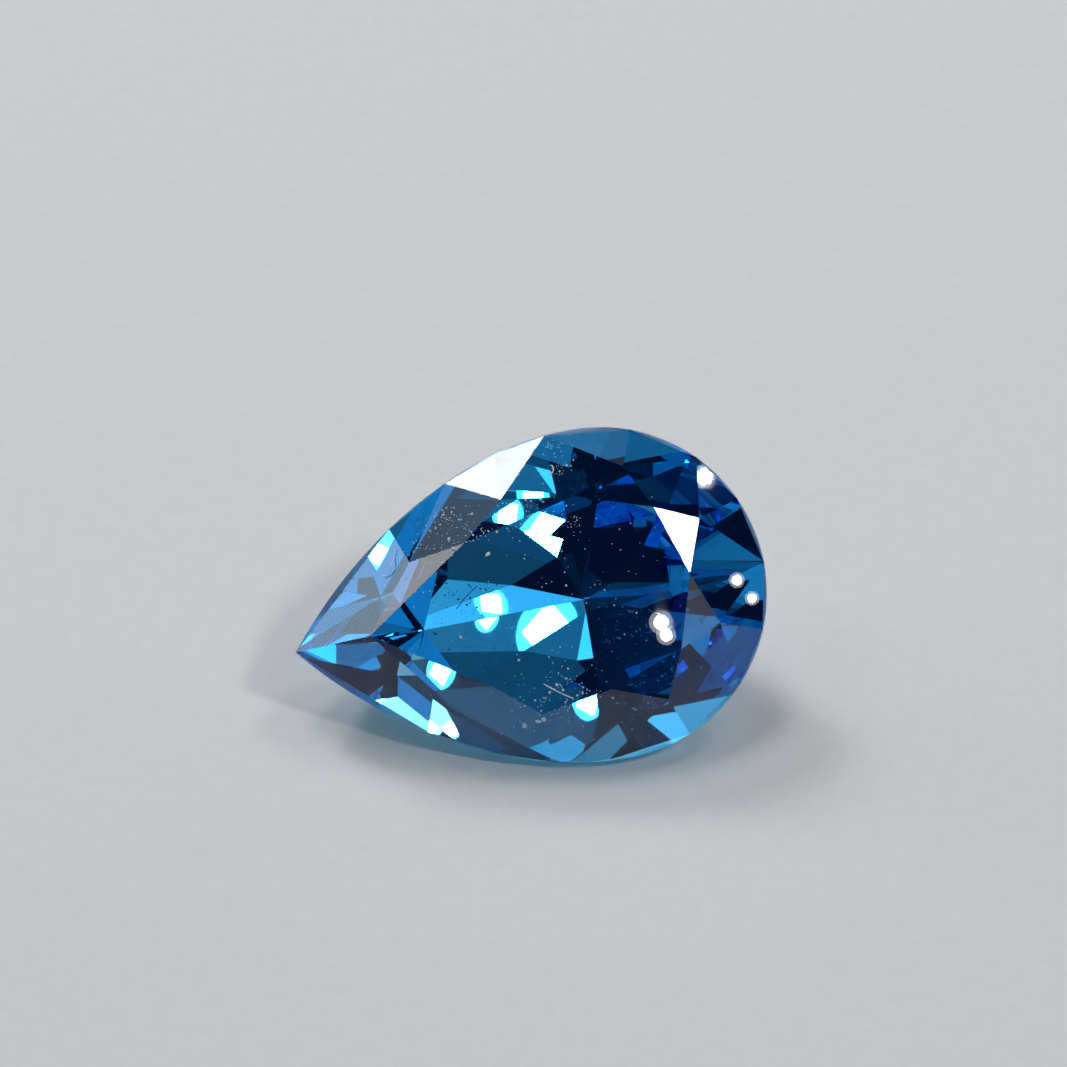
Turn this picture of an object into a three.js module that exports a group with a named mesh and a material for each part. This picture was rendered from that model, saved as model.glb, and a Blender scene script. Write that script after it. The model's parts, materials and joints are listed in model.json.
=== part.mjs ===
// Pear-cut topaz: one faceted gemstone that lies loose on a flat side of its pavilion.
// Millimetres, +Z up. The stone is cut in its own frame, where the girdle lies in the XY plane,
// +X runs from the point to the round head and +Z is the way the table faces.
// It is then turned to lie as a loose stone lies, with the origin under the middle of its box.

import * as THREE from 'three';
import { ConvexGeometry } from 'three/addons/geometries/ConvexGeometry.js';

// Girdle outline, from the head to the point: three arcs a side, each smooth into the next.
const HEAD_RADIUS = 5;
const SHOULDER_RADIUS = 9.3;
const FLANK_RADIUS = 14.3;
const SHOULDER_START = 90;
const SHOULDER_END = 112;
const OUTLINE_STEP = 0.32;

// Heights along the table's axis, with the middle of the girdle at nought.
const GIRDLE_THICKNESS = 0.39;
const CROWN_HEIGHT = 1.47;

// Crown: one main facet at each bearing, from its place on the girdle up to its corner of the table.
// Bearings are degrees from the head. Star facets drop from the table to a share of the crown's height.
const CROWN_MAINS = [
  { bearing: 0, corner: [2.73, 0] },
  { bearing: 43.5, corner: [2.05, 2.15] },
  { bearing: 94.5, corner: [-0.2, 2.92] },
  { bearing: 114, corner: [-3.68, 2.17] },
];
const CROWN_MIDWAYS = [23.5, 68.5, 104.5];
const CROWN_STAR_SHARES = [0.737, 0.765, 0.76, 0.74];
const CROWN_POINT = { bearing: 132, corner: [-6.95, 0] };

// Pavilion: one main facet at each bearing, with its slope below the girdle.
// The lower girdle facets reach down to a share of the depth below the head.
const PAVILION_MAINS = [
  { bearing: 0, slope: 39.4 },
  { bearing: 47.2, slope: 40.1 },
  { bearing: 102.1, slope: 42.1 },
  { bearing: 117.8, slope: 50.2 },
];
const PAVILION_MIDWAYS = [21, 73.9, 109.6];
const PAVILION_SHARES = [0.77, 0.56, 0.57, 0.51];
const PAVILION_POINT = { bearing: 136.3, slope: 52.1 };

// The stone lies on this pavilion main, on the side of minus Y.
const RESTING_MAIN = 2;

const TOPAZ_COLOUR = 0x3f9fd0;
const TOPAZ_ROUGHNESS = 0.03;
const TOPAZ_OPACITY = 0.6;

// Corners this close are one corner, and a corner may lie this far outside a facet by rounding.
const SAME_CORNER = 0.004;
const ROUNDING = 1e-7;

const girdleTop = GIRDLE_THICKNESS / 2;
const girdleBottom = -GIRDLE_THICKNESS / 2;
const tableHeight = girdleTop + CROWN_HEIGHT;
const pavilionDepth = HEAD_RADIUS * rise(PAVILION_MAINS[0].slope);

function rise(slope) {
  return Math.tan(THREE.MathUtils.degToRad(slope));
}

// Girdle outline

// Unit vector in the girdle's plane, at a bearing counted from the head.
function along(bearing) {
  const angle = THREE.MathUtils.degToRad(bearing);
  return new THREE.Vector2(Math.cos(angle), Math.sin(angle));
}

const headCentre = new THREE.Vector2(0, 0);
const shoulderInset = HEAD_RADIUS - SHOULDER_RADIUS;
const shoulderCentre = headCentre.clone().addScaledVector(along(SHOULDER_START), shoulderInset);
const flankInset = SHOULDER_RADIUS - FLANK_RADIUS;
const flankCentre = shoulderCentre.clone().addScaledVector(along(SHOULDER_END), flankInset);
const pointBearing = 180 - THREE.MathUtils.radToDeg(Math.asin(-flankCentre.y / FLANK_RADIUS));

// Place on the girdle where the outline faces a bearing between the head and the point.
function girdlePlace(bearing) {
  let centre = flankCentre;
  let radius = FLANK_RADIUS;
  if (bearing <= SHOULDER_START) {
    centre = headCentre;
    radius = HEAD_RADIUS;
  } else if (bearing <= SHOULDER_END) {
    centre = shoulderCentre;
    radius = SHOULDER_RADIUS;
  }
  return centre.clone().addScaledVector(along(bearing), radius);
}

const pointPlace = new THREE.Vector2(girdlePlace(pointBearing).x, 0);

// Bearing at the far end of the girdle's chord that starts at the point and faces a bearing.
function chordEnd(bearing) {
  const reach = along(bearing).dot(pointPlace.clone().sub(flankCentre));
  return bearing - THREE.MathUtils.radToDeg(Math.acos(reach / FLANK_RADIUS));
}

// Every bearing where facets meet the girdle, with even steps between them.
function outlineBearings() {
  const mains = [...CROWN_MAINS, ...PAVILION_MAINS].map(({ bearing }) => bearing);
  const chords = [CROWN_POINT, PAVILION_POINT].map(({ bearing }) => chordEnd(bearing));
  const meets = [...mains, ...chords, ...CROWN_MIDWAYS, ...PAVILION_MIDWAYS, pointBearing];
  const sorted = [...new Set(meets)].sort((a, b) => a - b);
  const bearings = [];
  for (let i = 0; i + 1 < sorted.length; i += 1) {
    const length = girdlePlace(sorted[i]).distanceTo(girdlePlace(sorted[i + 1]));
    const steps = Math.ceil(length / OUTLINE_STEP);
    for (let step = 0; step < steps; step += 1) {
      bearings.push(THREE.MathUtils.lerp(sorted[i], sorted[i + 1], step / steps));
    }
  }
  return bearings;
}

// Facet planes, each with its normal pointing out of the stone

const heart = new THREE.Vector3(-1, 0, 0);

function at(place, height) {
  return new THREE.Vector3(place.x, place.y, height);
}

function facetThrough(a, b, c) {
  const plane = new THREE.Plane().setFromCoplanarPoints(a, b, c);
  return plane.distanceToPoint(heart) > 0 ? plane.negate() : plane;
}

// A facet that passes through one place, faces a bearing and rises so many millimetres a millimetre.
function facetFacing(bearing, place, height, climb) {
  const level = along(bearing);
  const normal = new THREE.Vector3(level.x, level.y, 1 / climb).normalize();
  return new THREE.Plane().setFromNormalAndCoplanarPoint(normal, at(place, height));
}

function levelFacet(height) {
  return new THREE.Plane(new THREE.Vector3(0, 0, 1), -height);
}

// The place where three planes meet, or null where two of them are all but parallel.
function meetOf(first, second, third) {
  const across = new THREE.Vector3().crossVectors(second.normal, third.normal);
  const spread = across.dot(first.normal);
  if (Math.abs(spread) < ROUNDING) return null;
  const meet = across.multiplyScalar(-first.constant);
  meet.addScaledVector(new THREE.Vector3().crossVectors(third.normal, first.normal), -second.constant);
  meet.addScaledVector(new THREE.Vector3().crossVectors(first.normal, second.normal), -third.constant);
  return meet.divideScalar(spread);
}

function mirrored({ normal, constant }) {
  return new THREE.Plane(new THREE.Vector3(normal.x, -normal.y, normal.z), constant);
}

// Both facets of a pair, or the one facet that crosses the stone's own mirror plane squarely.
function pairOf(facet) {
  return Math.abs(facet.normal.y) < ROUNDING ? [facet] : [facet, mirrored(facet)];
}

// Bearings along the girdle from one main to the next, with the midway one where two facets part.
// Past the last main the girdle facet ends where the point's own facet begins.
function gapBearings(mains, midways, point, k) {
  const start = mains[k].bearing;
  if (k + 1 === mains.length) return [start, chordEnd(point.bearing)];
  return [start, midways[k], mains[k + 1].bearing];
}

// Girdle facets that rise from each stretch of the girdle to one apex.
function girdleFacets(apex, bearings, height) {
  const places = bearings.map((bearing) => at(girdlePlace(bearing), height));
  return places.slice(1).map((place, i) => facetThrough(apex, places[i], place));
}

// Crown

function crownFacets() {
  const points = [...CROWN_MAINS, CROWN_POINT].map(({ corner }) => new THREE.Vector2(...corner));
  const corners = points.map((point) => at(point, tableHeight));
  const mains = [...CROWN_MAINS, CROWN_POINT].map(({ bearing }, k) => {
    const place = k < CROWN_MAINS.length ? girdlePlace(bearing) : pointPlace;
    const run = along(bearing).dot(place.clone().sub(points[k]));
    return facetFacing(bearing, place, girdleTop, CROWN_HEIGHT / run);
  });
  const stars = [];
  const halves = [];
  CROWN_STAR_SHARES.forEach((share, k) => {
    const level = levelFacet(girdleTop + share * CROWN_HEIGHT);
    const apex = meetOf(mains[k], mains[k + 1], level);
    const bearings = gapBearings(CROWN_MAINS, CROWN_MIDWAYS, CROWN_POINT, k);
    stars.push(facetThrough(corners[k], corners[k + 1], apex));
    halves.push(...girdleFacets(apex, bearings, girdleTop));
  });
  return [levelFacet(tableHeight), ...[...mains, ...stars, ...halves].flatMap(pairOf)];
}

// Pavilion

function pavilionMains() {
  return [...PAVILION_MAINS, PAVILION_POINT].map(({ bearing, slope }, k) => {
    const place = k < PAVILION_MAINS.length ? girdlePlace(bearing) : pointPlace;
    return facetFacing(bearing, place, girdleBottom, -rise(slope));
  });
}

function pavilionFacets() {
  const mains = pavilionMains();
  const halves = PAVILION_SHARES.flatMap((share, k) => {
    const level = levelFacet(girdleBottom - share * pavilionDepth);
    const apex = meetOf(mains[k], mains[k + 1], level);
    const bearings = gapBearings(PAVILION_MAINS, PAVILION_MIDWAYS, PAVILION_POINT, k);
    return girdleFacets(apex, bearings, girdleBottom);
  });
  return [...mains, ...halves].flatMap(pairOf);
}

// Girdle

// Narrow upright walls, one for each step of the outline, on both sides.
function girdleWalls() {
  const places = [...outlineBearings().map(girdlePlace), pointPlace];
  const walls = places.slice(1).map((place, i) => {
    return facetThrough(at(places[i], girdleBottom), at(places[i], girdleTop), at(place, girdleTop));
  });
  return walls.flatMap(pairOf);
}

// Stone

// Every corner of the stone: a place where three facets meet and that no other facet cuts away.
function cornersOf(facets) {
  const corners = [];
  const isNew = (corner) => corners.every((other) => other.distanceTo(corner) > SAME_CORNER);
  const isKept = (corner) => facets.every((facet) => facet.distanceToPoint(corner) < ROUNDING);
  for (let i = 0; i < facets.length; i += 1) {
    for (let j = i + 1; j < facets.length; j += 1) {
      for (let k = j + 1; k < facets.length; k += 1) {
        const corner = meetOf(facets[i], facets[j], facets[k]);
        if (corner && isKept(corner) && isNew(corner)) corners.push(corner);
      }
    }
  }
  return corners;
}

// The turn that lays the resting facet flat, with the table leaning toward minus Y.
function restingTurn() {
  const up = mirrored(pavilionMains()[RESTING_MAIN]).normal.negate();
  const back = new THREE.Vector3(0, 0, 1).projectOnPlane(up).normalize().negate();
  const right = new THREE.Vector3().crossVectors(back, up);
  const lyingFrame = new THREE.Matrix4().makeBasis(right, back, up);
  return new THREE.Quaternion().setFromRotationMatrix(lyingFrame.transpose());
}

const topazFinish = new THREE.MeshStandardMaterial({
  color: TOPAZ_COLOUR,
  roughness: TOPAZ_ROUGHNESS,
  metalness: 0,
  transparent: true,
  opacity: TOPAZ_OPACITY,
});

const corners = cornersOf([...crownFacets(), ...pavilionFacets(), ...girdleWalls()]);
const topaz = new THREE.Mesh(new ConvexGeometry(corners), topazFinish);
topaz.name = 'topaz';
topaz.quaternion.copy(restingTurn());

const box = new THREE.Box3().setFromObject(topaz, true);
const middle = box.getCenter(new THREE.Vector3());
topaz.position.set(-middle.x, -middle.y, -box.min.z);

const gemstone = new THREE.Group();
gemstone.add(topaz);

export default gemstone;
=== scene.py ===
"""A pear-cut topaz: its finish, the dust and lint on its crown, and a plain studio around it."""

import json
import logging
import math
import random
from dataclasses import dataclass, field
from enum import Enum
from typing import Any, Sequence

import bpy
from mathutils import Matrix, Vector
from mathutils.bvhtree import BVHTree


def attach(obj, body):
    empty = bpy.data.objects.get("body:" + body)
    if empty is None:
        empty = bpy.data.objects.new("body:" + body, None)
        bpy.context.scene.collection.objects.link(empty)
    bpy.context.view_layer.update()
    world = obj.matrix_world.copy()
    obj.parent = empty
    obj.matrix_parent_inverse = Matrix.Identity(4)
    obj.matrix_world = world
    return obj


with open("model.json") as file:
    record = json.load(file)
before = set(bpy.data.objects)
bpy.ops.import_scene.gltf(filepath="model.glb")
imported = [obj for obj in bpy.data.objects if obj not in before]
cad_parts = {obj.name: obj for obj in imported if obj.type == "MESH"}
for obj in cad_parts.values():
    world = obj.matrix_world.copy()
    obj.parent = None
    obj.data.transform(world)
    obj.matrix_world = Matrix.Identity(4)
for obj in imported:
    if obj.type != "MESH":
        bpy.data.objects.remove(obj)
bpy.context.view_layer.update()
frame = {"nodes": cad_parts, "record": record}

LOG = logging.getLogger("topaz")
MM = 0.001
Colour = tuple[float, float, float, float]
Tint = tuple[float, float, float]
WHITE: Tint = (1.0, 1.0, 1.0)
COOL: Tint = (0.6, 0.84, 1.0)
LIGHT_BOUNCES = 24
BRIGHTEST_BOUNCE = 40.0


class Wire:
    """An output socket that Python arithmetic can be written on."""

    def __init__(self, board: "Board", socket: bpy.types.NodeSocket) -> None:
        """Keep the socket and the board that further nodes go on."""
        self.board = board
        self.socket = socket

    def __add__(self, other: "Wire | float") -> "Wire":
        """Sum of two values."""
        return self.board.maths("ADD", self, other)

    __radd__ = __add__

    def __sub__(self, other: "Wire | float") -> "Wire":
        """This value less another."""
        return self.board.maths("SUBTRACT", self, other)

    def __rsub__(self, other: "Wire | float") -> "Wire":
        """Another value less this one."""
        return self.board.maths("SUBTRACT", other, self)

    def __mul__(self, other: "Wire | float") -> "Wire":
        """Product of two values."""
        return self.board.maths("MULTIPLY", self, other)

    __rmul__ = __mul__

    def __abs__(self) -> "Wire":
        """The value without its sign."""
        return self.board.maths("ABSOLUTE", self)


class Board:
    """The nodes of one material or of the world."""

    def __init__(self, tree: bpy.types.NodeTree) -> None:
        """Start from an empty tree."""
        self.tree = tree
        tree.nodes.clear()

    def node(
        self,
        kind: str,
        settings: dict[str, Any] | None = None,
        sockets: dict[str | int, Any] | None = None,
        out: str | int = 0,
    ) -> Wire | None:
        """Add one node.

        Args:
            kind: The node's Blender type.
            settings: Properties that are set first; "stops" fills a colour ramp.
            sockets: Values or wires for the inputs, by name or number.
            out: The output that is handed back, by name or number.

        Returns:
            The chosen output, or None for a node that has none.
        """
        made = self.tree.nodes.new(kind)
        for name, value in (settings or {}).items():
            if name == "stops":
                self._fill_ramp(made.color_ramp, value)
            else:
                setattr(made, name, value)
        for name, value in (sockets or {}).items():
            if isinstance(value, Wire):
                self.tree.links.new(value.socket, made.inputs[name])
            else:
                made.inputs[name].default_value = value
        return Wire(self, made.outputs[out]) if made.outputs else None

    def _fill_ramp(self, ramp: bpy.types.ColorRamp, stops: Sequence[tuple[float, float]]) -> None:
        """Give a ramp its grey stops.

        Args:
            ramp: The ramp, with Blender's own two stops on it.
            stops: Pairs of position and grey value, from left to right.
        """
        while len(ramp.elements) < len(stops):
            ramp.elements.new(1.0)
        for element, (position, grey) in zip(ramp.elements, stops):
            element.position = position
            element.color = (grey, grey, grey, 1.0)

    def maths(self, operation: str, *values: Wire | float) -> Wire:
        """Add a Math node for an operation on one or more values."""
        return self.node("ShaderNodeMath", {"operation": operation}, dict(enumerate(values)))

    def vector(self, operation: str, *values: Any, out: str | int = 0) -> Wire:
        """Add a Vector Math node for an operation on one or more vectors."""
        return self.node("ShaderNodeVectorMath", {"operation": operation}, dict(enumerate(values)), out)

    def ramp(self, value: Wire, stops: Sequence[tuple[float, float]]) -> Wire:
        """Pass a value through a grey ramp."""
        return self.node("ShaderNodeValToRGB", {"stops": stops}, {0: value})

    def tint(self, factor: Wire | float, low: Any, high: Any) -> Wire:
        """Mix two colours by a factor."""
        return self.node("ShaderNodeMix", {"data_type": "RGBA"}, {0: factor, 6: low, 7: high}, 2)

    def noise(self, place: Wire, scale: float, detail: float = 2.0) -> Wire:
        """A noise value between nought and one over a place."""
        values = {"Vector": place, "Scale": scale, "Detail": detail}
        return self.node("ShaderNodeTexNoise", None, values)

    def place(self) -> Wire:
        """Places on the object, in metres of its own frame."""
        return self.node("ShaderNodeTexCoord", None, None, "Object")


def new_board(name: str) -> tuple[bpy.types.Material, Board]:
    """Make a material with an empty node tree.

    Args:
        name: The material's name.

    Returns:
        The material and the board of its nodes.
    """
    material = bpy.data.materials.new(name)
    material.use_nodes = True
    return material, Board(material.node_tree)


@dataclass(frozen=True)
class TopazFinish:
    """Polished blue topaz with a ground girdle and a faint film on the crown."""

    refraction: float = 1.62
    body_colour: Colour = (0.036, 0.761, 0.971, 1.0)
    colour_depth: float = 280.0
    clear: Colour = (0.97, 0.99, 1.0, 1.0)
    zoned: Colour = (0.90, 0.965, 1.0, 1.0)
    zone_scale: float = 260.0
    polish: float = 0.004
    film: float = 0.03
    film_scale: float = 900.0
    film_stretch: tuple[float, float, float] = (1.0, 0.25, 0.6)
    film_detail: float = 4.0
    film_stops: tuple[tuple[float, float], ...] = ((0.52, 0.0), (0.78, 1.0))
    girdle_frost: float = 0.55
    girdle_half: float = 0.2 * MM

    def material(self, heart: Vector, axis: Vector) -> bpy.types.Material:
        """Make the stone's material.

        Args:
            heart: A place in the middle of the girdle's plane.
            axis: Unit vector along which the table faces.

        Returns:
            A clear, tinted material that absorbs light by its depth.
        """
        material, board = new_board("blue_topaz")
        place = board.place()
        height = board.vector("DOT_PRODUCT", board.vector("SUBTRACT", place, heart), axis, out="Value")
        girdle = board.maths("LESS_THAN", abs(height), self.girdle_half)
        crown = board.maths("GREATER_THAN", height, self.girdle_half)
        drawn_out = board.vector("MULTIPLY", place, self.film_stretch)
        streaks = board.noise(drawn_out, self.film_scale, self.film_detail)
        film = board.ramp(streaks, self.film_stops) * crown
        zones = board.noise(place, self.zone_scale)
        rough = self.polish + film * self.film + girdle * self.girdle_frost
        polished = board.node(
            "ShaderNodeBsdfPrincipled",
            None,
            {
                "Base Color": board.tint(zones, self.clear, self.zoned),
                "Roughness": rough,
                "IOR": self.refraction,
                "Transmission Weight": 1.0,
            },
        )
        depth = board.node(
            "ShaderNodeVolumeAbsorption",
            None,
            {"Color": self.body_colour, "Density": self.colour_depth},
        )
        board.node("ShaderNodeOutputMaterial", None, {"Surface": polished, "Volume": depth})
        return material


@dataclass(frozen=True)
class DustFinish:
    """Pale house dust."""

    pale: Colour = (0.84, 0.92, 1.00, 1.0)
    grey: Colour = (0.52, 0.62, 0.74, 1.0)
    scale: float = 9000.0
    roughness: float = 0.9

    def material(self) -> bpy.types.Material:
        """Make the grains' material."""
        material, board = new_board("pale_dust")
        mottle = board.noise(board.place(), self.scale)
        shader = board.node(
            "ShaderNodeBsdfPrincipled",
            None,
            {"Base Color": board.tint(mottle, self.grey, self.pale), "Roughness": self.roughness},
        )
        board.node("ShaderNodeOutputMaterial", None, {"Surface": shader})
        return material


@dataclass(frozen=True)
class LintFinish:
    """A pale, slightly glossy textile fibre."""

    pale: Colour = (0.90, 0.91, 0.94, 1.0)
    shade: Colour = (0.66, 0.68, 0.74, 1.0)
    scale: float = 5000.0
    roughness: float = 0.45

    def material(self) -> bpy.types.Material:
        """Make the fibre's material."""
        material, board = new_board("pale_lint")
        bands = board.noise(board.place(), self.scale)
        shader = board.node(
            "ShaderNodeBsdfPrincipled",
            None,
            {"Base Color": board.tint(bands, self.shade, self.pale), "Roughness": self.roughness},
        )
        board.node("ShaderNodeOutputMaterial", None, {"Surface": shader})
        return material


@dataclass(frozen=True)
class FloorFinish:
    """Pale matt paper."""

    pale: Colour = (0.80, 0.80, 0.80, 1.0)
    shade: Colour = (0.74, 0.74, 0.75, 1.0)
    fibre_scale: float = 1800.0
    fibre_detail: float = 5.0
    roughness: float = 0.85
    tooth: float = 0.08
    tooth_depth: float = 0.02 * MM

    def material(self) -> bpy.types.Material:
        """Make the floor's material."""
        material, board = new_board("pale_paper")
        fibres = board.noise(board.place(), self.fibre_scale, self.fibre_detail)
        bump = board.node(
            "ShaderNodeBump",
            None,
            {"Strength": self.tooth, "Distance": self.tooth_depth, "Height": fibres},
        )
        shader = board.node(
            "ShaderNodeBsdfPrincipled",
            None,
            {
                "Base Color": board.tint(fibres, self.shade, self.pale),
                "Roughness": self.roughness,
                "Normal": bump,
            },
        )
        board.node("ShaderNodeOutputMaterial", None, {"Surface": shader})
        return material


@dataclass
class Stone:
    """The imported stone, which keeps its shape and takes a finish."""

    node: bpy.types.Object
    table: dict[str, Any]
    table_rise: float = 1.665 * MM
    head_to_tip: float = 9.3 * MM
    well_above: float = 8 * MM
    finish: TopazFinish = field(default_factory=TopazFinish)

    def __post_init__(self) -> None:
        """Find the table's axis, the middle of the round head and the way from the tip to it."""
        self.corners = [vertex.co.copy() for vertex in self.node.data.vertices]
        self.axis = Vector(self.table["axis"]).normalized()
        centre = sum(self.corners, Vector()) / len(self.corners)
        tip = max(self.corners, key=lambda corner: (corner - centre).length)
        toward_head = centre - tip
        toward_head -= self.axis * toward_head.dot(self.axis)
        self.head = toward_head.normalized()
        self.side = self.axis.cross(self.head)
        level = Vector(self.table["pos_m"]).dot(self.axis) - self.table_rise
        over_tip = tip + self.axis * (level - tip.dot(self.axis))
        self.heart = over_tip + self.head * self.head_to_tip
        faces = [tuple(face.vertices) for face in self.node.data.polygons]
        self.tree = BVHTree.FromPolygons(self.corners, faces)

    def dress(self) -> None:
        """Put the topaz on the stone."""
        self.node.data.materials.clear()
        self.node.data.materials.append(self.finish.material(self.heart, self.axis))

    def crown_place(self, along: float, across: float) -> tuple[Vector, Vector] | None:
        """Find the crown's surface under a place on the table's own map.

        Args:
            along: Millimetres toward the head from the middle of the girdle.
            across: Millimetres toward the upper side in the photograph.

        Returns:
            The place and the facet's normal, or None beside the stone.
        """
        start = self.heart + self.head * (along * MM) + self.side * (across * MM)
        start += self.axis * self.well_above
        place, normal, _, _ = self.tree.ray_cast(start, -self.axis)
        return None if place is None else (place, normal)


class Grain(Enum):
    """Kinds of dust, with their least and greatest size in millimetres."""

    SPECK = (0.020, 0.045)
    CRUMB = (0.045, 0.085)
    FLAKE = (0.10, 0.18)


@dataclass(frozen=True)
class Drift:
    """One patch of dust on the crown, in millimetres on the table's map."""

    along: float
    across: float
    reach_along: float
    reach_across: float
    count: int
    kind: Grain


@dataclass
class Dust:
    """Loose grains that lie on the crown's facets."""

    stone: Stone
    drifts: tuple[Drift, ...] = (
        Drift(-0.48, 3.86, 0.60, 0.30, 26, Grain.SPECK),
        Drift(-0.48, 3.86, 0.60, 0.30, 5, Grain.CRUMB),
        Drift(-0.55, 4.60, 0.45, 0.25, 30, Grain.SPECK),
        Drift(-0.37, 2.10, 0.25, 0.35, 22, Grain.SPECK),
        Drift(-2.47, 2.76, 0.25, 0.10, 12, Grain.SPECK),
        Drift(-4.06, 3.07, 0.70, 0.35, 40, Grain.SPECK),
        Drift(-4.06, 3.07, 0.70, 0.35, 8, Grain.CRUMB),
        Drift(-1.90, 2.65, 1.60, 0.60, 60, Grain.SPECK),
        Drift(-1.90, 2.65, 1.40, 0.50, 9, Grain.CRUMB),
        Drift(-3.60, 2.40, 1.30, 0.60, 60, Grain.SPECK),
        Drift(-3.60, 2.40, 1.10, 0.50, 10, Grain.CRUMB),
        Drift(-5.00, 2.20, 0.90, 0.60, 36, Grain.SPECK),
        Drift(-5.60, 1.20, 0.80, 0.70, 22, Grain.SPECK),
        Drift(-1.74, -2.83, 1.50, 1.10, 130, Grain.SPECK),
        Drift(-1.74, -2.83, 1.30, 0.90, 24, Grain.CRUMB),
        Drift(0.00, 0.00, 2.60, 2.60, 60, Grain.SPECK),
        Drift(-2.60, 0.00, 4.00, 1.60, 40, Grain.SPECK),
        Drift(-1.60, 0.20, 3.20, 2.20, 10, Grain.CRUMB),
        Drift(-3.07, 1.71, 0.03, 0.03, 1, Grain.FLAKE),
        Drift(-4.11, 2.35, 0.03, 0.03, 1, Grain.FLAKE),
        Drift(-3.99, 2.05, 0.03, 0.03, 1, Grain.FLAKE),
        Drift(-3.98, 3.33, 0.03, 0.03, 1, Grain.FLAKE),
        Drift(-2.28, -3.43, 1.10, 0.08, 5, Grain.FLAKE),
    )
    seed: int = 7
    scatter: float = 0.5
    least_level: float = 0.3
    jolt_least: float = 0.7
    jolt_most: float = 1.2
    sink: float = 0.25
    finish: DustFinish = field(default_factory=DustFinish)

    def build(self) -> bpy.types.Object:
        """Make all grains as one piece.

        Returns:
            The mesh object, dressed and riding on the stone's body.
        """
        chance = random.Random(self.seed)
        places: list[Vector] = []
        faces: list[tuple[int, ...]] = []
        for drift in self.drifts:
            for _ in range(drift.count):
                along = drift.along + chance.gauss(0.0, self.scatter) * drift.reach_along
                across = drift.across + chance.gauss(0.0, self.scatter) * drift.reach_across
                size = chance.uniform(*drift.kind.value) * MM / 2
                turns = [chance.uniform(-1.0, 1.0) for _ in range(3)]
                jolts = [chance.uniform(self.jolt_least, self.jolt_most) for _ in PEBBLE_CORNERS]
                seat = self.stone.crown_place(along, across)
                if seat is None or seat[1].dot(self.stone.axis) < self.least_level:
                    continue
                self._lay_grain(places, faces, seat, size, turns, jolts)
        return piece_from("dust", places, faces, self.finish.material())

    def _lay_grain(
        self,
        places: list[Vector],
        faces: list[tuple[int, ...]],
        seat: tuple[Vector, Vector],
        size: float,
        turns: Sequence[float],
        jolts: Sequence[float],
    ) -> None:
        """Add one angular grain.

        Args:
            places: Corners so far, which the grain's are added to.
            faces: Faces so far, which the grain's are added to.
            seat: The place on the stone and the facet's normal.
            size: Half the grain's width in metres.
            turns: Three numbers that set its heading and how long and flat it is.
            jolts: How far out each corner stands.
        """
        place, normal = seat
        first = len(places)
        heading = normal.orthogonal().normalized()
        heading.rotate(Matrix.Rotation(turns[0] * math.pi, 3, normal))
        beside = normal.cross(heading)
        long, flat = 1.0 + 0.45 * turns[1], 0.62 + 0.2 * turns[2]
        lift = place + normal * (size * flat * (1.0 - self.sink))
        for corner, jolt in zip(PEBBLE_CORNERS, jolts):
            out = corner * (size * jolt)
            places.append(lift + heading * (out.x * long) + beside * out.y + normal * (out.z * flat))
        faces.extend(tuple(first + i for i in face) for face in PEBBLE_FACES)


def pebble() -> tuple[list[Vector], list[tuple[int, int, int]]]:
    """Make a twenty-sided unit form that grains start from.

    Returns:
        Its corners and its faces, wound outward.
    """
    golden = (1.0 + math.sqrt(5.0)) / 2.0
    corners = []
    for a in (-1.0, 1.0):
        for b in (-golden, golden):
            corners += [Vector((0.0, a, b)), Vector((a, b, 0.0)), Vector((b, 0.0, a))]
    reach = corners[0].length
    near = 2.1
    faces = []
    for i, first in enumerate(corners):
        for j in range(i + 1, len(corners)):
            for k in range(j + 1, len(corners)):
                second, third = corners[j], corners[k]
                sides = ((first - second).length, (second - third).length, (third - first).length)
                if max(sides) > near:
                    continue
                outward = (second - first).cross(third - first).dot(first) > 0
                faces.append((i, j, k) if outward else (i, k, j))
    return [corner / reach for corner in corners], faces


PEBBLE_CORNERS, PEBBLE_FACES = pebble()


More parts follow.
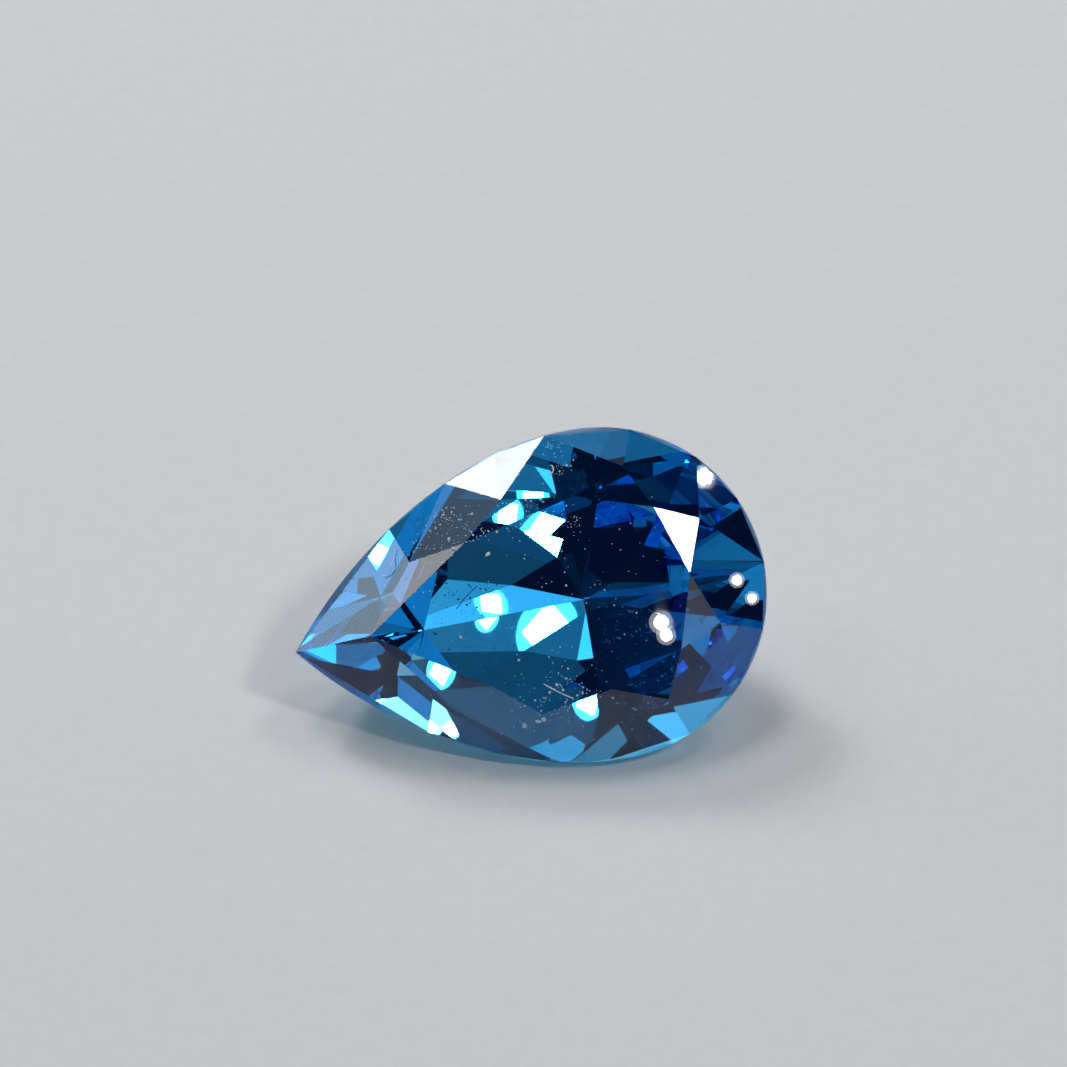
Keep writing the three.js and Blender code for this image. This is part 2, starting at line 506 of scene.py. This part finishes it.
@dataclass
class Lint:
    """Short fibres caught on the crown."""

    stone: Stone
    radius: float = 0.016 * MM
    end_taper: float = 0.45
    sides: int = 8
    steps: int = 40
    runs: tuple[tuple[tuple[float, float, float], ...], ...] = (
        (
            (-5.73, 2.46, 0.05),
            (-5.83, 2.20, 0.02),
            (-5.90, 1.95, 0.10),
            (-6.01, 1.75, 0.05),
            (-6.16, 1.66, 0.02),
            (-6.27, 1.72, 0.03),
        ),
        (
            (-0.70, 4.00, 0.01),
            (-0.66, 3.86, 0.05),
            (-0.74, 3.72, 0.03),
            (-0.86, 3.72, 0.01),
        ),
        (
            (-2.17, -2.38, 0.01),
            (-1.77, -2.69, 0.03),
            (-1.37, -2.97, 0.01),
        ),
    )
    finish: LintFinish = field(default_factory=LintFinish)

    def build(self) -> bpy.types.Object:
        """Make the fibres as one piece.

        Returns:
            The mesh object, dressed and riding on the stone's body.
        """
        places: list[Vector] = []
        faces: list[tuple[int, ...]] = []
        for run in self.runs:
            self._lay_fibre(places, faces, self._route(run))
        return piece_from("lint", places, faces, self.finish.material())

    def _route(self, run: Sequence[tuple[float, float, float]]) -> list[Vector]:
        """Follow a fibre over the crown.

        Args:
            run: Places on the table's map, with the clear height over the facet.

        Returns:
            Evenly stepped places along the fibre's middle.
        """
        knots = []
        for along, across, lift in run:
            seat = self.stone.crown_place(along, across)
            if seat is not None:
                knots.append(seat[0] + seat[1] * (self.radius * 0.9 + lift * MM))
        route = []
        for step in range(self.steps + 1):
            spot = step / self.steps * (len(knots) - 1)
            i = min(int(spot), len(knots) - 2)
            before, after = knots[max(i - 1, 0)], knots[min(i + 2, len(knots) - 1)]
            route.append(smooth_between(before, knots[i], knots[i + 1], after, spot - i))
        return route

    def _lay_fibre(
        self,
        places: list[Vector],
        faces: list[tuple[int, ...]],
        route: Sequence[Vector],
    ) -> None:
        """Add a closed tube along a route.

        Args:
            places: Corners so far, which the tube's are added to.
            faces: Faces so far, which the tube's are added to.
            route: The middle of the tube.
        """
        first = len(places)
        for i, middle in enumerate(route):
            ahead = (route[min(i + 1, len(route) - 1)] - route[max(i - 1, 0)]).normalized()
            beside = ahead.cross(self.stone.axis).normalized()
            above = beside.cross(ahead)
            taper = self.end_taper if i in (0, len(route) - 1) else 1.0
            for side in range(self.sides):
                angle = 2 * math.pi * side / self.sides
                out = beside * math.cos(angle) + above * math.sin(angle)
                places.append(middle + out * (self.radius * taper))
        for ring in range(len(route) - 1):
            for side in range(self.sides):
                low = first + ring * self.sides
                turn = (side + 1) % self.sides
                faces.append((low + side, low + self.sides + side, low + self.sides + turn, low + turn))
        faces.append(tuple(first + side for side in range(self.sides)))
        last = first + (len(route) - 1) * self.sides
        faces.append(tuple(last + side for side in reversed(range(self.sides))))


def smooth_between(before: Vector, start: Vector, end: Vector, after: Vector, share: float) -> Vector:
    """Place on a smooth curve through four places.

    Args:
        before: The place before the stretch.
        start: Where the stretch starts.
        end: Where the stretch ends.
        after: The place after the stretch.
        share: How far along the stretch, from nought to one.

    Returns:
        The place at that share.
    """
    lead, trail = (end - before) * 0.5, (after - start) * 0.5
    square, cube = share * share, share * share * share
    return (
        start * (2 * cube - 3 * square + 1)
        + lead * (cube - 2 * square + share)
        + end * (3 * square - 2 * cube)
        + trail * (cube - square)
    )


def piece_from(
    name: str,
    places: Sequence[Vector],
    faces: Sequence[tuple[int, ...]],
    material: bpy.types.Material,
) -> bpy.types.Object:
    """Make a mesh piece that rides on the stone's body.

    Args:
        name: The piece's name.
        places: Its corners in metres.
        faces: Its faces, wound outward.
        material: Its finish.

    Returns:
        The new object.
    """
    mesh = bpy.data.meshes.new(name)
    mesh.from_pydata([tuple(place) for place in places], [], faces)
    mesh.materials.append(material)
    piece = bpy.data.objects.new(name, mesh)
    bpy.context.scene.collection.objects.link(piece)
    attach(piece, "root")
    return piece


@dataclass(frozen=True)
class SoftLight:
    """A diffused lamp, round or square, that faces the stone."""

    name: str
    azimuth: float
    elevation: float
    spread: float
    glow: float
    tint: Tint = WHITE
    distance: float = 0.4
    square: bool = False

    def build(self, target: Vector) -> None:
        """Hang the lamp, as wide as its spread in degrees either side of its middle.

        Args:
            target: The place that it faces.
        """
        lamp = bpy.data.lights.new(self.name, "AREA")
        radius = self.distance * math.tan(math.radians(self.spread))
        area = 4 * radius * radius if self.square else math.pi * radius * radius
        lamp.shape = "SQUARE" if self.square else "DISK"
        lamp.size = 2 * radius
        lamp.energy = self.glow * math.pi * area
        lamp.color = self.tint
        holder = bpy.data.objects.new(self.name, lamp)
        away = bearing(self.azimuth, self.elevation)
        holder.location = target + away * self.distance
        holder.rotation_euler = away.to_track_quat("Z", "Y").to_euler()
        bpy.context.scene.collection.objects.link(holder)


def bearing(azimuth: float, elevation: float) -> Vector:
    """Unit vector toward a bearing.

    Args:
        azimuth: Degrees from the camera's side, toward the right of the picture.
        elevation: Degrees above the floor.

    Returns:
        The unit vector from the stone.
    """
    turn, lift = math.radians(azimuth), math.radians(elevation)
    level = math.cos(lift)
    return Vector((math.sin(turn) * level, -math.cos(turn) * level, math.sin(lift)))


@dataclass
class Studio:
    """Pale floor, soft lights, dim room and the camera."""

    middle: Vector = field(default_factory=lambda: Vector((0.0, 0.0, 2.5 * MM)))
    floor_radius: float = 2.5
    air_gap: float = 0.02 * MM
    floor_sides: int = 96
    room: Colour = (0.008, 0.010, 0.022, 1.0)
    backdrop: Colour = (0.62, 0.62, 0.63, 1.0)
    camera_azimuth: float = 1.51
    camera_elevation: float = 45.81
    camera_distance: float = 0.15
    frame_width: float = 32.19 * MM
    sensor: float = 36.0
    aim_up: float = 2.54 * MM
    aim_right: float = 0.05 * MM
    lights: tuple[SoftLight, ...] = (
        SoftLight("back_left_panel", -143.0, 43.0, 8.0, 14.0),
        SoftLight("left_rear_panel", -131.0, 42.0, 8.0, 1.2, COOL),
        SoftLight("left_panel", -110.0, 27.0, 13.0, 0.7, COOL),
        SoftLight("low_left_lamp", -118.0, 22.5, 5.0, 3.2, COOL),
        SoftLight("high_left_lamp", -98.2, 52.5, 5.0, 4.5),
        SoftLight("left_horizon_lamp", -61.0, 16.0, 6.0, 0.35),
        SoftLight("left_top_lamp", -79.0, 78.0, 5.0, 0.35),
        SoftLight("back_panel", -178.0, 45.0, 9.0, 0.35, COOL),
        SoftLight("overhead_panel", -152.0, 66.0, 9.0, 8.0),
        SoftLight("rear_right_panel", 129.0, 56.0, 7.0, 8.0),
        SoftLight("right_lamp", 67.6, 52.7, 3.9, 37.0),
        SoftLight("high_right_panel", 80.0, 63.0, 13.0, 0.35),
        SoftLight("right_top_lamp", 126.0, 71.0, 4.0, 2.5),
        SoftLight("front_right_panel", 51.4, 45.0, 13.0, 0.12),
        SoftLight("high_front_panel", 51.4, 55.0, 7.0, 0.2),
        SoftLight("front_right_lamp", 49.7, 33.0, 4.0, 0.7),
        SoftLight("low_front_lamp", 42.0, 15.0, 3.5, 1.2),
        SoftLight("front_top_lamp", 34.0, 58.0, 3.0, 2.0),
        SoftLight("front_lamp", 19.0, 58.0, 3.0, 0.8),
        SoftLight("back_right_lamp", 128.6, 12.5, 4.0, 2.0),
        SoftLight("right_rear_lamp", 135.0, 28.0, 3.0, 3.0),
        SoftLight("right_side_lamp", 100.0, 39.0, 2.5, 2.5),
    )
    sparks: tuple[tuple[float, float, float], ...] = (
        (67.5, 72.15, 0.30),
        (46.34, 48.24, 0.30),
        (79.43, 60.99, 0.26),
        (42.33, 14.91, 0.13),
        (77.82, 61.46, 0.10),
        (70.43, 45.58, 0.13),
        (138.28, 12.98, 0.15),
        (132.79, 30.58, 0.15),
        (100.08, 38.75, 0.13),
        (50.82, 37.20, 0.13),
        (48.43, 41.41, 0.12),
        (54.74, 43.65, 0.13),
        (33.55, 58.13, 0.25),
    )
    glints: tuple[tuple[float, float, float], ...] = (
        (0.76, 49.95, 0.085),
        (0.86, 49.80, 0.070),
        (84.73, 25.91, 0.055),
        (84.80, 25.70, 0.045),
        (85.55, 8.91, 0.050),
        (125.22, 34.80, 0.085),
    )
    bulb_glow: float = 80.0
    halo_glow: float = 4.0
    halo_spread: float = 1.7
    bulb_distance: float = 4.0
    floor_finish: FloorFinish = field(default_factory=FloorFinish)

    def build(self) -> None:
        """Make the whole studio."""
        self._floor()
        self._room()
        for light in self.lights:
            light.build(self.middle)
        for spark in self.sparks:
            self._bulb(*spark, True)
        for glint in self.glints:
            self._bulb(*glint, False)
        self._camera()

    def _floor(self) -> None:
        """Lay the round pale floor under the stone, with the thin air gap that lets its facets reflect."""
        mesh = bpy.data.meshes.new("floor")
        step = 2 * math.pi / self.floor_sides
        rim = [(math.cos(i * step), math.sin(i * step)) for i in range(self.floor_sides)]
        mesh.from_pydata(
            [(x * self.floor_radius, y * self.floor_radius, -self.air_gap) for x, y in rim],
            [],
            [tuple(range(self.floor_sides))],
        )
        mesh.materials.append(self.floor_finish.material())
        floor = bpy.data.objects.new("floor", mesh)
        bpy.context.scene.collection.objects.link(floor)

    def _bulb(self, azimuth: float, elevation: float, spread: float, square: bool) -> None:
        """Hang a small bright bulb in its dim halo, far off.

        Args:
            azimuth: Degrees from the camera's side.
            elevation: Degrees above the floor.
            spread: Degrees that it reaches either side of its middle.
            square: Whether the bulb is square.
        """
        far = self.bulb_distance
        wide = spread * self.halo_spread
        bulb = SoftLight("bulb", azimuth, elevation, spread, self.bulb_glow, WHITE, far, square)
        halo = SoftLight("halo", azimuth, elevation, wide, self.halo_glow, WHITE, far)
        bulb.build(self.middle)
        halo.build(self.middle)

    def _room(self) -> None:
        """Make the room dim, with a pale backdrop behind the floor's edge."""
        world = bpy.data.worlds.new("dim_room")
        world.use_nodes = True
        bpy.context.scene.world = world
        board = Board(world.node_tree)
        seen = board.node("ShaderNodeLightPath", None, None, "Is Camera Ray")
        colour = board.tint(seen, self.room, self.backdrop)
        sky = board.node("ShaderNodeBackground", None, {"Color": colour})
        board.node("ShaderNodeOutputWorld", None, {"Surface": sky})

    def _camera(self) -> None:
        """Stand the camera where the photograph was taken from."""
        away = bearing(self.camera_azimuth, self.camera_elevation)
        right = Vector((0.0, 0.0, 1.0)).cross(away).normalized()
        above = away.cross(right)
        aim = self.middle + above * self.aim_up + right * self.aim_right
        place = self.middle + away * self.camera_distance
        lens = bpy.data.cameras.new("camera")
        lens.sensor_width = self.sensor
        lens.lens = self.sensor * self.camera_distance / self.frame_width
        lens.clip_start = 0.01
        lens.clip_end = 10.0
        camera = bpy.data.objects.new("camera", lens)
        camera.location = place
        camera.rotation_euler = (aim - place).to_track_quat("-Z", "Y").to_euler()
        bpy.context.scene.collection.objects.link(camera)
        bpy.context.scene.camera = camera


def set_light_paths() -> None:
    """Let light cross the stone many times and keep plain display colours."""
    scene = bpy.context.scene
    scene.cycles.max_bounces = LIGHT_BOUNCES
    scene.cycles.transmission_bounces = LIGHT_BOUNCES
    scene.cycles.glossy_bounces = LIGHT_BOUNCES
    scene.cycles.sample_clamp_indirect = BRIGHTEST_BOUNCE
    scene.view_settings.view_transform = "Standard"


def mount_named(name: str) -> dict[str, Any]:
    """Find one of the record's mounts.

    Args:
        name: The mount's name.

    Returns:
        The mount as the record gives it.
    """
    return next(mount for mount in frame["record"]["mounts"] if mount["name"] == name)


def main() -> None:
    """Dress the stone, lay what lies on it, and build the studio."""
    logging.basicConfig(level=logging.INFO, format="%(message)s")
    stone = Stone(frame["nodes"]["topaz"], mount_named("table"))
    stone.dress()
    LOG.info("topaz: %d corners", len(stone.corners))
    for part in (Dust(stone), Lint(stone)):
        piece = part.build()
        LOG.info("%s: %d faces", piece.name, len(piece.data.polygons))
    Studio().build()
    set_light_paths()


if __name__ == "__main__":
    main()
